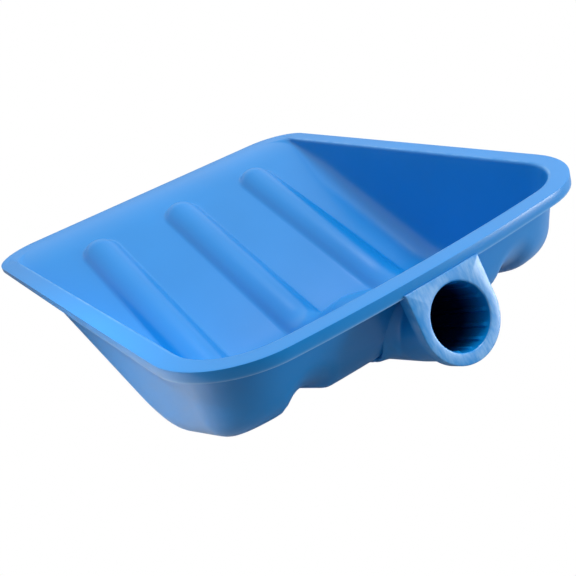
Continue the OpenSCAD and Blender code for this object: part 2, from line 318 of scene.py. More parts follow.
@dataclass(frozen=True)
class SocketSizes:
    """Sizes of the handle socket, in millimetres and degrees.

    The mouth's centre lies drop below the rim and out past its back edge, and the bore runs down
    from it by the tilt. The tube is straight at first and then narrows to end_r. The splines stand in
    from the bore to grip_r, flat over spline_flat of their width and gone at spline_foot of it.
    """

    collar_r: float = 23.2
    collar_t: float = 7.0
    tube_r: float = 21.0
    end_r: float = 18.0
    straight: float = 30.0
    bore_r: float = 17.0
    grip_r: float = 16.0
    depth: float = 100.0
    end_t: float = 4.0
    tilt: float = 17.5
    drop: float = 26.0
    out: float = 7.5
    lead_in: float = 1.0
    splines: int = 14
    spline_w: float = 2.4
    spline_flat: float = 0.32
    spline_foot: float = 0.62

    @property
    def mouth_y(self) -> float:
        """The mouth's centre along the pan."""
        return RimSizes().length / 2.0 + self.out

    def axis_z(self, y: Array) -> Array:
        """Height of the socket's axis at y."""
        return -self.drop - (self.mouth_y - np.asarray(y, float)) * math.tan(math.radians(self.tilt))

    def radius(self, along: Array) -> Array:
        """Outer radius at a distance from the mouth."""
        length = self.depth + self.end_t
        t = (np.asarray(along, float) - self.straight) / (length - self.straight)
        return self.tube_r - (self.tube_r - self.end_r) * np.clip(t, 0.0, 2.0)


@dataclass(frozen=True)
class FloorSizes:
    """Sizes of the floor, walls and ribs, in millimetres and degrees.

    Behind the lip the floor bends down to its slope, turns up in the belly and rises to the back
    wall's foot, which lies depth below the rim and foot_gap in from its inner edge.
    """

    sheet_t: float = 3.0
    lip_depth: float = 3.0
    lip_bend: float = 21.5
    slope: float = 22.8
    rise: float = 20.0
    foot_gap: float = 12.0
    depth: float = 43.0
    belly: float = 20.0
    side_draft: float = 5.5
    back_lean: float = 19.0
    fillet: float = 14.0
    rib_pitch: float = 69.0
    rib_half: float = 14.0
    rib_h: float = 8.0
    rib_start: float = 44.0
    rib_blend: float = 2.6
    rib_margin: float = 2.0
    rib_arc: float = 0.97
    rib_fall: float = 4.0

    @property
    def rib_inner(self) -> float:
        """Where an outer rib's ground begins, across from the middle."""
        return self.rib_pitch - self.rib_half - self.rib_margin

    @property
    def rib_outer(self) -> float:
        """Where an outer rib's ground ends, across from the middle."""
        return self.rib_pitch + self.rib_half + self.rib_margin


@dataclass(frozen=True)
class SwellingSizes:
    """Sizes of the sheet's swelling over the socket, in millimetres.

    It is round over round_share of its radius and straight-sided beyond. Towards the front, from
    sink_start to sink_end along the pan, it sinks into the floor.
    """

    cover: float = 0.4
    round_share: float = 0.8
    blend: float = 7.0
    sink: float = 8.0
    sink_start: float = 88.0
    sink_end: float = 38.0
    half_width: float = 60.0
    past_bore: float = 3.0


@dataclass
class Floor:
    """The height of the moulded floor, with its ribs and the swelling over the socket."""

    sizes: FloorSizes
    rim: RimSizes
    socket: SocketSizes
    swell: SwellingSizes = field(default_factory=SwellingSizes)

    def __post_init__(self) -> None:
        """Finds where the floor bends down and where it turns up."""
        self.bend_y = self.rim.front_y + self.sizes.lip_depth + self.sizes.lip_bend
        self.foot_y = self.rim.back_y - self.rim.width - self.sizes.foot_gap
        self.tilt_cos = math.cos(math.radians(self.socket.tilt))

    def base(self, y: Array) -> Array:
        """Height of the plain floor along the pan."""
        s = self.sizes
        fall = math.tan(math.radians(s.slope))
        climb = math.tan(math.radians(s.rise))
        y = np.asarray(y, float)
        down = soft_min(0.0, -fall * (y - self.bend_y), s.lip_bend * fall)
        return soft_max(down, -s.depth + climb * (y - self.foot_y), s.belly)

    def _ridge(self, x: Array, y: Array, centre: float) -> Array:
        """One rib: a round-topped ridge with a domed tip and a small fillet at its foot."""
        s = self.sizes
        radius = (s.rib_half**2 + s.rib_h**2) / (2.0 * s.rib_h)
        ahead = np.minimum(0.0, y - (self.rim.front_y + s.rib_start + s.rib_half))
        away = np.hypot(x - centre, ahead)
        on_arc = np.minimum(away, s.rib_arc * radius)
        drop = s.rib_fall * (away - on_arc)
        arc = np.sqrt(radius**2 - on_arc**2) - (radius - s.rib_h) - drop
        return soft_max(arc, 0.0, s.rib_blend)

    def height(self, x: Array, y: Array) -> Array:
        """Height of the floor with its ribs."""
        x, y = np.asarray(x, float), np.asarray(y, float)
        pitch = self.sizes.rib_pitch
        return self.base(y) + sum(self._ridge(x, y, centre) for centre in (-pitch, 0.0, pitch))

    def swelling(self, x: Array, y: Array) -> Array:
        """Height of the skin over the socket, far below the floor where there is none."""
        k, w = self.socket, self.swell
        radius = k.radius((k.mouth_y - y) / self.tilt_cos) + w.cover
        across = np.abs(x)
        crown = np.minimum(across, w.round_share * radius)
        flank = (across - crown) * w.round_share / math.sqrt(1.0 - w.round_share**2)
        top = k.axis_z(y) + (np.sqrt(radius**2 - crown**2) - flank) / self.tilt_cos
        return top - w.sink * smoothstep(w.sink_start, w.sink_end, y)

    def lifted(self, points: Array) -> Array:
        """Presses the sheet up over the socket.

        Args:
            points: Places in the rim frame, x, y, z in the last axis.

        Returns:
            The places with the swelling in them.
        """
        out = np.array(points, float)
        x, y, z = points[..., 0], points[..., 1], points[..., 2]
        near = (np.abs(x) < self.swell.half_width) & (y > 0.0) & (z < UNDER_RIM)
        out[..., 2] = np.where(near, soft_max(z, self.swelling(x, y), self.swell.blend), z)
        return out

    def cored(self, points: Array) -> Array:
        """Moves the underside out of the socket's bore, up into the wall of the tube.

        Args:
            points: Places of the underside in the rim frame, x, y, z in the last axis.

        Returns:
            The places with the bore left clear.
        """
        k = self.socket
        out = np.array(points, float)
        x, y, z = points[..., 0], points[..., 1], points[..., 2]
        along = (k.mouth_y - y) / self.tilt_cos
        middle = (k.radius(along) + k.bore_r) / 2.0
        crest = k.axis_z(y) + np.sqrt(np.maximum(middle**2 - x**2, 0.0)) / self.tilt_cos
        over = (np.abs(x) < middle) & (along < k.depth + self.swell.past_bore) & (z < UNDER_RIM)
        out[..., 2] = np.where(over, np.maximum(z, crest), z)
        return out


# ---------------------------------------------------------------------------------------------
# The pan
# ---------------------------------------------------------------------------------------------


@dataclass
class Station:
    """One cut through the rim and the wall, taken square to the rim."""

    place: Array
    inward: Array
    lean: float
    foot: float
    fillet: float

    @property
    def reach(self) -> float:
        """How far in from the rim the wall's fillet ends."""
        return -self.foot * self.lean + self.fillet

    @property
    def end(self) -> Array:
        """The plan position where the wall's fillet ends."""
        return self.place + self.inward * self.reach


@dataclass(frozen=True)
class PanRows:
    """How many rows of points each stretch of the pan has."""

    turn: int = 16
    tips: int = 25
    side: int = 76
    rim: int = 4
    edge: int = 5
    wall: int = 7
    fillet: int = 10

    @property
    def cut(self) -> int:
        """Rows across the rim and the wall."""
        return self.rim + self.edge + self.wall + self.fillet


@dataclass
class Pan:
    """The pan: floor, walls, flat rim and turned-down skirt, all one sheet."""

    rim: RimSizes = field(default_factory=RimSizes)
    floor_sizes: FloorSizes = field(default_factory=FloorSizes)
    socket: SocketSizes = field(default_factory=SocketSizes)
    rows: PanRows = field(default_factory=PanRows)
    tips_length: float = 28.0
    least_fillet: float = 3.0
    least_foot: float = 1.0
    walled: tuple[float, float] = (0.2, 5.0)
    settle_rounds: int = 12
    least_hem: float = 0.05
    # The next two set the highlight painted along the rim's inner edge and the wall depths over which it
    # grows.
    inner_edge_highlight: float = 0.7
    highlight_depth: tuple[float, float] = (2.0, 14.0)

    def __post_init__(self) -> None:
        """Lays out the floor and finds where the round corners begin."""
        self.floor = Floor(self.floor_sizes, self.rim, self.socket)
        self.inner_x = self.rim.mid_half - self.rim.width
        self.corner_y = self.rim.back_y - self.rim.corner_r
        self.front_corner_y = self.rim.front_y + self.rim.front_r

    def _fillet(self, foot: float) -> float:
        """Reach of the fillet at the foot of a wall that deep."""
        return float(min(self.floor_sizes.fillet, max(self.least_fillet, -foot * 0.5)))

    def _turned(self, angle: float, centre_y: float, radius: float, lean_end: float) -> Station:
        """Takes a cut through one of the round corners.

        Args:
            angle: The turn from the pan's side towards its end, in radians.
            centre_y: Where the corner's centre is along the pan.
            radius: The corner's outer radius.
            lean_end: The lean of the wall at the pan's end.

        Returns:
            The station.
        """
        side = math.tan(math.radians(self.floor_sizes.side_draft))
        inner = radius - self.rim.width
        ahead = 1.0 if centre_y > 0 else -1.0
        centre = np.array([self.rim.mid_half - radius, centre_y])
        out = np.array([math.cos(angle), ahead * math.sin(angle)])
        place = centre + out * inner
        foot = float(self.floor.base(centre_y))
        for _ in range(self.settle_rounds):
            reach = inner - self._fillet(foot) + foot * np.array([side, lean_end])
            end = centre + out * reach
            foot = float(self.floor.base(end[1]))
        away = end - place
        span = float(np.hypot(*away))
        lean = (span - self._fillet(foot)) / -foot if foot < -self.least_foot else side
        return Station(place, away / span, lean, foot, self._fillet(foot))

    def side_stations(self) -> list[Station]:
        """Stations down the right-hand side, from the middle of the front corner to the back."""
        s, count = self.floor_sizes, self.rows.turn
        side = math.tan(math.radians(s.side_draft))
        back = math.tan(math.radians(s.back_lean))
        quarter = math.pi / 2.0
        found = [
            self._turned(quarter * (1.0 - i / count), self.front_corner_y, self.rim.front_r, side)
            for i in range(count)
        ]
        tips = self.front_corner_y + self.tips_length
        near = np.linspace(self.front_corner_y, tips, self.rows.tips)
        far = np.linspace(tips, self.corner_y, self.rows.side)[1:]
        for y in np.concatenate([near, far]):
            foot = float(self.floor.base(y))
            place, inward = np.array([self.inner_x, y]), np.array([-1.0, 0.0])
            found.append(Station(place, inward, side, foot, self._fillet(foot)))
        found += [
            self._turned(quarter * i / count, self.corner_y, self.rim.corner_r, back)
            for i in range(1, count + 1)
        ]
        return found

    def hang(self, y: float) -> float:
        """How far the skirt hangs below the rim top at y."""
        r = self.rim
        t = max(0.0, (y - self.front_corner_y) / (r.back_y - self.front_corner_y))
        return r.lip_t + (r.skirt - r.lip_t) * t**0.8

    def _floor_at(self, station: Station, inset: float) -> float:
        """Floor height at a distance in from the rim."""
        place = station.place + station.inward * inset
        return float(self.floor.height(place[0] * float(self.rim.taper(place[1])), place[1]))

    def _level_cut(self, station: Station, start: float) -> Array:
        """The cut near the digging edge, where there is no wall and the sheet runs on into the floor."""
        faces_end = station.inward[1] > 0.0 and station.place[1] < 0.0
        ahead = float(station.inward[1]) if faces_end else 0.0
        cut = []
        for i in range(1, self.rows.cut + 1):
            inset = start + (station.reach - start) * i / self.rows.cut
            share = ahead + (1.0 - ahead) * float(smoothstep(0.0, station.reach, inset))
            cut.append((inset, self._floor_at(station, inset) * share))
        return np.array(cut)

    def _wall_cut(self, station: Station, start: float) -> Array:
        """The cut where there is a wall: flat rim, rounded edge, straight wall and fillet."""
        rows, lean = self.rows, station.lean
        turn = min(self.rim.inner_round, -station.foot * 0.3)
        cut = [(start + (-turn - start) * i / rows.rim, 0.0) for i in range(1, rows.rim + 1)]
        for i in range(1, rows.edge + 1):
            t = i / rows.edge
            cut.append((-turn * (1 - t) ** 2 + turn * lean * t * t, -turn * t * t))
        corner = -station.foot * lean
        corner_z = self._floor_at(station, corner)
        top_z = corner_z + min(self.floor_sizes.fillet, -corner_z * 0.6)
        top = -top_z * lean
        for i in range(1, rows.wall + 1):
            t = i / rows.wall
            cut.append((turn * lean + (top - turn * lean) * t, -turn + (top_z + turn) * t))
        end_z = self._floor_at(station, station.reach)
        for i in range(1, rows.fillet + 1):
            t = i / rows.fillet
            bend = np.array([(1 - t) ** 2, 2 * t * (1 - t), t * t])
            cut.append((bend @ (top, corner, station.reach), bend @ (top_z, corner_z, end_z)))
        return np.array(cut)

    def _profile(self, station: Station) -> Array:
        """The cut through rim and wall at a station.

        Args:
            station: The station.

        Returns:
            Places from the rim's outer edge to the end of the wall's fillet.
        """
        start = -self.rim.width + self.rim.skirt_t
        walled = float(smoothstep(*self.walled, -station.foot))
        mixed = self._level_cut(station, start) * (1.0 - walled) + self._wall_cut(station, start) * walled
        mixed[-1] = station.reach, self._floor_at(station, station.reach)
        cut = np.concatenate([np.array([(-self.rim.width, 0.0), (start, 0.0)]), mixed])
        places = station.place[None, :] + station.inward[None, :] * cut[:, :1]
        return np.concatenate([places, cut[:, 1:]], axis=1)

    def _level_stations(self, station: Station, across: Array) -> list[Station]:
        """Copies of an end station set at each x of across."""
        return [replace(station, place=np.array([x, station.place[1]])) for x in across]

    def _columns(self) -> Array:
        """Places of the floor's columns across half the pan, closest over the ribs."""
        s = self.floor_sizes
        middle = s.rib_half + s.rib_margin
        parts = [
            np.linspace(0.0, middle, 14),
            np.linspace(middle, s.rib_inner, 14)[1:],
            np.linspace(s.rib_inner, s.rib_outer, 27)[1:],
            np.linspace(s.rib_outer, self.inner_x, 11)[1:],
        ]
        return np.concatenate(parts)

    def _spread(self, foot_x: float) -> Array:
        """The floor's columns from edge to edge where its half width is foot_x."""
        half = self._columns()
        outer = self.floor_sizes.rib_outer

        def pressed(start: float) -> Array:
            """The columns past start, drawn in to end at foot_x."""
            drawn = start + (half - start) * (foot_x - start) / (half[-1] - start)
            return np.where(half <= start, half, drawn)

        share = float(smoothstep(outer + 1.0, outer + 9.0, foot_x))
        right = pressed(outer) * share + pressed(self.floor_sizes.rib_inner) * (1.0 - share)
        return np.concatenate([-right[:0:-1], right])

    def _bed(self, side: list[Station]) -> Array:
        """The floor's points, a row for each side station, up to where the walls' fillets end."""
        ends = np.array([station.end for station in side])
        ends[:, 0] *= self.rim.taper(ends[:, 1])
        x = np.array([self._spread(end) for end in ends[:, 0]])
        y = np.repeat(ends[:, 1:], x.shape[1], axis=1)
        return np.stack([x, y, self.floor.height(x, y)], axis=-1)

    def _ring(self, side: list[Station], bed: Array) -> Array:
        """The cuts all the way round the pan, closed, before the taper and the bow."""
        right = [self._profile(station) for station in side]
        left = [profile * [-1.0, 1.0, 1.0] for profile in right]
        ahead = bed[0, 1:-1, 0] / float(self.rim.taper(bed[0, 0, 1]))
        behind = bed[-1, ::-1, 0][1:-1] / float(self.rim.taper(bed[-1, 0, 1]))
        front = [self._profile(station) for station in self._level_stations(side[0], ahead)]
        back = [self._profile(station) for station in self._level_stations(side[-1], behind)]
        return np.array([*front, *right, *back, *left[::-1], front[0]])

    def _marks(self, ring: Array) -> dict[str, Array]:
        """Where the band is skirt, where its outer edge runs and where a highlight is painted on the
        inner edge.
        """
        strip, edge, inner_highlight = (np.zeros(ring.shape[:2]) for _ in range(3))
        strip[:, :2] = 1.0
        # outer edge: marks where a pale line is painted, partly wear and partly painted highlight
        edge[:, 0] = 1.0
        first = 2 + self.rows.rim
        # painted highlight along the rim's rounded inner edge, stronger where the wall below is deeper
        inner_highlight[:, first : first + 2] = self.inner_edge_highlight * smoothstep(*self.highlight_depth, -ring[:, -1:, 2])
        return {"hem": strip, "edge": edge, "scuff_and_highlight": inner_highlight}

    def _swell(self, pan: bpy.types.Object, upper: int) -> None:
        """Presses the upper skin up over the socket and moves the lower skin out of its bore.

        Args:
            pan: The thickened pan.
            upper: How many of its points, the first ones, are the upper skin.
        """
        flat = np.zeros(len(pan.data.vertices) * 3)
        pan.data.vertices.foreach_get("co", flat)
        places = flat.reshape(-1, 3)
        places[:upper] = self.floor.lifted(places[:upper] / MM) * MM
        places[upper:] = self.floor.cored(places[upper:] / MM) * MM
        pan.data.vertices.foreach_set("co", places.ravel())
        pan.data.update()

    def _hem(self, pan: bpy.types.Object) -> None:
        """Pulls the outer strip of the rim's underside down into the skirt.

        The mark of the outer edge stays only along the skirt's lower edge, where it paints a pale line
        that is partly wear and partly painted highlight.
        """
        activate(pan)
        bpy.ops.object.mode_set(mode="EDIT")
        bpy.ops.mesh.select_mode(type="FACE")
        bpy.ops.mesh.select_all(action="DESELECT")
        bpy.ops.object.mode_set(mode="OBJECT")
        mesh = pan.data
        strip = mesh.attributes["hem"].data
        for face in mesh.polygons:
            on_strip = min(strip[v].value for v in face.vertices) > 0.5
            behind = face.center.y > self.front_corner_y * MM
            face.select = on_strip and behind and face.normal.z < -0.9
        bpy.ops.object.mode_set(mode="EDIT")
        bpy.ops.mesh.extrude_region_move(TRANSFORM_OT_translate={"value": (0.0, 0.0, -1.0 * MM)})
        bpy.ops.object.mode_set(mode="OBJECT")
        # only the skirt's lower edge keeps the mark for the painted pale line
        edge = mesh.attributes["edge"].data
        for point in mesh.vertices:
            if point.select:
                point.co.z = -(self.hang(point.co.y / MM) + self.least_hem) * MM
            else:
                edge[point.index].value = 0.0

    def build(self) -> bpy.types.Object:
        """Lays the floor and the band of walls and rim, joins them and gives them thickness.

        Returns:
            The pan in the rim frame.
        """
        side = self.side_stations()
        bed = self._bed(side)
        ring = self._ring(side, bed)
        bed[..., 1] += self.rim.bow_at(bed[..., 0], bed[..., 1])
        floor = formed_grid("floor", bed)
        band = formed_grid("band", self.rim.bowed(ring), self._marks(ring))

        pan = join([floor, band], "pan")
        weld(pan)
        face_up(pan)
        upper = len(pan.data.vertices)
        thicken(pan, self.floor_sizes.sheet_t * MM)
        self._swell(pan, upper)
        self._hem(pan)
        small = self.rim.edge_r / self.rim.round_r
        round_edges(pan, self.rim.round_r * MM, 50.0, lambda place: 1.0 if place.z > -0.5 * MM else small)
        shade(pan, 50.0)
        return pan


# ---------------------------------------------------------------------------------------------
# The socket
# ---------------------------------------------------------------------------------------------


@dataclass
class Socket:
    """The handle socket: collar, tube, bore and grip splines, turned as one closed skin.

    Loops run from the middle of the bore's closed end, out through the mouth and back along the
    tube. Each is round the axis, with x across, y up and z the distance from the mouth.
    """

    floor: Floor
    sizes: SocketSizes = field(default_factory=SocketSizes)
    rim: RimSizes = field(default_factory=RimSizes)
    around: int = 280
    tuck: float = 1.4
    fillet: float = 6.0
    nose: float = 16.0
    edge: float = 0.6
    upright: float = 0.25
    corner_blend: float = 11.0
    neck: float = 1.6
    end_round: float = 3.0
    buried: tuple[float, float] = (1.0, 2.6)
    fade_length: float = 14.0
    # depth from the mouth over which painted shade darkens the bore
    bore_shade_depth: float = 22.0
    spline_back: tuple[float, float] = (9.0, 11.0)
    spline_front: tuple[float, float] = (3.6, 2.4)
    grip_rows: tuple[float, ...] = (70.0, 50.0, 35.0, 22.0, 14.0, 9.0, 5.5)

    def __post_init__(self) -> None:
        """Spaces the points round the axis."""
        self.turn = np.linspace(0.0, 2.0 * math.pi, self.around + 1)
        self.turn[-1] = 0.0

    def _ring(self, radius: float, along: float) -> Array:
        """A round loop at a distance from the mouth."""
        c, s = np.cos(self.turn), np.sin(self.turn)
        return np.stack([radius * c, radius * s, np.full_like(c, along)], axis=-1)

    def _top(self, along: float) -> float:
        """Height above the axis of the flat under the skirt."""
        k = self.sizes
        tilt = math.radians(k.tilt)
        return (k.drop - self.rim.skirt + self.tuck + along * math.sin(tilt)) / math.cos(tilt)

    def _collar(self, radius: float, top: float, along: float) -> Array:
        """A loop with a round lower half and a square, flat-topped upper half."""
        loop = self._ring(radius, along)
        half = self.around // 2
        walk = np.arange(half + 1) / half
        right, left = walk <= self.upright, walk >= 1.0 - self.upright
        across = radius * (1.0 - 2.0 * (walk - self.upright) / (1.0 - 2.0 * self.upright))
        loop[: half + 1, 0] = np.where(right, radius, np.where(left, -radius, across))
        loop[: half + 1, 1] = np.minimum(top, top * np.minimum(walk, 1.0 - walk) / self.upright)
        return loop

    def _splined(self, height: float, along: float) -> Array:
        """A loop of the bore with splines standing in from it by height."""
        k = self.sizes
        pitch = 2.0 * math.pi / k.splines
        off = np.abs((self.turn / pitch) % 1.0 - 0.5) * pitch * k.bore_r
        crest = 1.0 - smoothstep(k.spline_w * k.spline_flat, k.spline_w * k.spline_foot, off)
        loop = self._ring(1.0, along)
        loop[:, :2] *= (k.bore_r - height * crest)[:, None]
        return loop

    def _in_pan(self, loop: Array) -> Array:
        """The places of a loop in the rim frame."""
        tilt = math.radians(self.sizes.tilt)
        y = self.sizes.mouth_y - loop[:, 2] * math.cos(tilt) - loop[:, 1] * math.sin(tilt)
        z = -self.sizes.drop - loop[:, 2] * math.sin(tilt) + loop[:, 1] * math.cos(tilt)
        return np.stack([loop[:, 0], y, z], axis=-1)

    def _clearance(self, loop: Array) -> Array:
        """How far the points of a loop stand out from the pan's underside, less than 0 inside the pan."""
        s = self.floor.sizes
        x, y, z = self._in_pan(loop).T
        lean, rise = math.radians(s.back_lean), math.radians(s.rise)
        inner_y = self.rim.back_y - self.rim.width + z * math.tan(lean)
        wall_y = inner_y + self.rim.bow_at(x, inner_y) + s.sheet_t / math.cos(lean)
        off_wall = (y - wall_y) * math.cos(lean)
        off_floor = (self.floor.base(y) - s.sheet_t / math.cos(rise) - z) * math.cos(rise)
        return soft_max(off_wall, off_floor, self.corner_blend)

    def _tube(self, along: float) -> Array:
        """A loop of the tube, spread into a fillet where it meets the pan."""
        depth = self.sizes.depth
        past = max(0.0, along - depth) / self.nose
        radius = float(self.sizes.radius(along)) * math.sqrt(max(0.0, 1.0 - past * past))
        off = self._clearance(self._ring(radius, along))
        spread = self.fillet * np.clip(1.0 - off / self.fillet, 0.0, 1.0) ** 2
        held = 1.0 - smoothstep(*self.buried, -off)
        fade = 1.0 - float(smoothstep(depth - self.fade_length, depth + self.nose, along))
        loop = self._ring(1.0, along)
        loop[:, :2] *= (radius + spread * held * fade)[:, None]
        return loop

    def _bore_rows(self) -> list[Array]:
        """Loops from the middle of the bore's closed end out to the lead-in at the mouth."""
        k = self.sizes
        stand = k.bore_r - k.grip_r
        (foot, full), (low, gone) = self.spline_back, self.spline_front
        rows = [self._ring(0.0, k.depth), self._ring(k.bore_r - self.end_round, k.depth)]
        rows += [self._ring(k.bore_r, k.depth - self.end_round), self._splined(0.0, k.depth - foot)]
        rows += [self._splined(stand, a) for a in (k.depth - full, *self.grip_rows)]
        rows += [self._splined(stand * 0.85, low), self._splined(0.0, gone)]
        for a in np.linspace(0.0, math.pi / 2.0, 5):
            out, back = k.lead_in * (1.0 - math.cos(a)), k.lead_in * (1.0 - math.sin(a))
            rows.append(self._ring(k.bore_r + out, back))
        return rows

    def _face_rows(self) -> list[Array]:
        """Loops round the rounded front edge of the collar."""
        rows = []
        for a in np.linspace(0.0, math.pi / 2.0, 4):
            out, back = self.edge * (math.sin(a) - 1.0), self.edge * (1.0 - math.cos(a))
            rows.append(self._collar(self.sizes.collar_r + out, self._top(0.0) + out, back))
        return rows

    def _outer_rows(self) -> list[Array]:
        """Loops from the collar's side, down the tube, to its domed end."""
        k, edge = self.sizes, self.edge
        rows = [
            self._collar(k.collar_r, self._top(k.collar_t - edge), k.collar_t - edge),
            self._collar(k.collar_r - edge, self._top(k.collar_t) - edge, k.collar_t),
            self._ring(k.tube_r + self.neck, k.collar_t + 0.1),
        ]
        rows += [self._tube(a) for a in np.arange(k.collar_t + 1.0, k.depth + self.nose, 1.0)]
        rows.append(self._ring(0.0, k.depth + self.nose))
        return rows

    def build(self) -> bpy.types.Object:
        """Turns the socket round its axis and lays it into the pan.

        Returns:
            The socket in the rim frame.
        """
        k = self.sizes
        bore, front, outer = self._bore_rows(), self._face_rows(), self._outer_rows()
        loops = np.array([*bore, *front, *outer])
        row = np.arange(len(loops))
        lead = len(bore) - 2
        # painted shade: the bore's colour darkens from the mouth towards its closed end
        inside = np.where(row < lead, smoothstep(0.0, self.bore_shade_depth, loops[:, 0, 2]), 0.0)
        face = ((row >= lead - 1) & (row < len(bore) + len(front))).astype(float)
        around = np.ones(loops.shape[1])
        marks = {"inside": inside[:, None] * around, "scuff_and_highlight": face[:, None] * around}
        socket = formed_grid("socket", loops, marks)
        weld(socket, 0.01 * MM)
        activate(socket)
        socket.location = Vector((0.0, k.mouth_y, -k.drop)) * MM
        socket.rotation_euler = (math.pi / 2.0 + math.radians(k.tilt), 0.0, 0.0)
        bpy.ops.object.transform_apply(location=True, rotation=True, scale=True)
        shade(socket, 38.0)
        return socket


# ---------------------------------------------------------------------------------------------
# Finish
# ---------------------------------------------------------------------------------------------


class Tone(Enum):
    """Named colours, linear red, green and blue."""

    BLUE = (0.0010, 0.215, 0.605, 1.0)
    # pale blue for scuffed faces and for the highlights painted along the rim's edges
    SCUFF = (0.200, 0.430, 0.740, 1.0)
    # painted shade for deep in the bore
    DARK = (0.001, 0.012, 0.060, 1.0)
    WHITE = (1.0, 1.0, 1.0, 1.0)
    FLOOR = (0.34, 0.34, 0.34, 1.0)


class NodeTree:
    """A short way to set and link shader nodes."""

    def __init__(self, tree: bpy.types.NodeTree) -> None:
        """Keeps the tree, emptied."""
        tree.nodes.clear()
        self.tree = tree

    def add(
        self, kind: str, inputs: dict[str | int, object] | None = None, **values: object
    ) -> bpy.types.Node:
        """Adds a node.

        Args:
            kind: The node's type.
            inputs: What its unlinked inputs hold, by name or number.
            values: The node's own attributes.

        Returns:
            The node.
        """
        node = self.tree.nodes.new(kind)
        for key, value in values.items():
            setattr(node, key, value)
        for key, value in (inputs or {}).items():
            node.inputs[key].default_value = value
        return node

    def noise(self, scale: float, detail: float) -> bpy.types.Node:
        """Adds a noise pattern."""
        return self.add("ShaderNodeTexNoise", {"Scale": scale, "Detail": detail})

    def link(self, *pairs: tuple[bpy.types.NodeSocket, bpy.types.NodeSocket]) -> None:
        """Links each pair of sockets, from the first to the second."""
        for start, end in pairs:
            self.tree.links.new(start, end)


def new_group(name: str, *masks: str) -> tuple[NodeTree, bpy.types.Node, bpy.types.Node]:
    """Starts a shared group that reads a place and gives values.

    Args:
        name: The group's name.
        masks: The names of the values it gives.

    Returns:
        Its tree, its input node and its output node.
    """
    group = bpy.data.node_groups.new(name, "ShaderNodeTree")
    group.interface.new_socket("Vector", in_out="INPUT", socket_type="NodeSocketVector")
    for mask in masks:
        group.interface.new_socket(mask, in_out="OUTPUT", socket_type="NodeSocketFloat")
    kit = NodeTree(group)
    return kit, kit.add("NodeGroupInput"), kit.add("NodeGroupOutput")


def flow_group() -> bpy.types.NodeTree:
    """The faint waves and cloudiness that moulded plastic keeps.

    Returns:
        A node group that gives a cloud mask and a height for the bump.
    """
    kit, start, end = new_group("mould_flow", "Cloud", "Height")
    cloud, waves, fine = kit.noise(14.0, 3.0), kit.noise(55.0, 2.0), kit.noise(900.0, 2.0)
    total = kit.add("ShaderNodeMath", {1: 0.12}, operation="MULTIPLY_ADD")
    kit.link(
        *((start.outputs["Vector"], node.inputs["Vector"]) for node in (cloud, waves, fine)),
        (fine.outputs["Fac"], total.inputs[0]),
        (waves.outputs["Fac"], total.inputs[2]),
        (cloud.outputs["Fac"], end.inputs["Cloud"]),
        (total.outputs[0], end.inputs["Height"]),
    )
    return kit.tree


def scuff_group() -> bpy.types.NodeTree:
    """Fine scraped streaks.

    Returns:
        A node group that gives a streak mask.
    """
    kit, start, end = new_group("scuffs", "Streaks")
    turn, stretch = (0.3, 0.5, 0.2), (700.0, 160.0, 220.0)
    drawn = kit.add("ShaderNodeMapping", {"Rotation": turn, "Scale": stretch})
    streak, patch = kit.noise(1.0, 5.0), kit.noise(70.0, 2.0)
    both = kit.add("ShaderNodeMath", operation="MULTIPLY")
    curve = kit.add("ShaderNodeMapRange", {"From Min": 0.14, "From Max": 0.40})
    kit.link(
        (start.outputs["Vector"], drawn.inputs["Vector"]),
        (start.outputs["Vector"], patch.inputs["Vector"]),
        (drawn.outputs["Vector"], streak.inputs["Vector"]),
        (streak.outputs["Fac"], both.inputs[0]),
        (patch.outputs["Fac"], both.inputs[1]),
        (both.outputs[0], curve.inputs["Value"]),
        (curve.outputs["Result"], end.inputs["Streaks"]),
    )
    return kit.tree


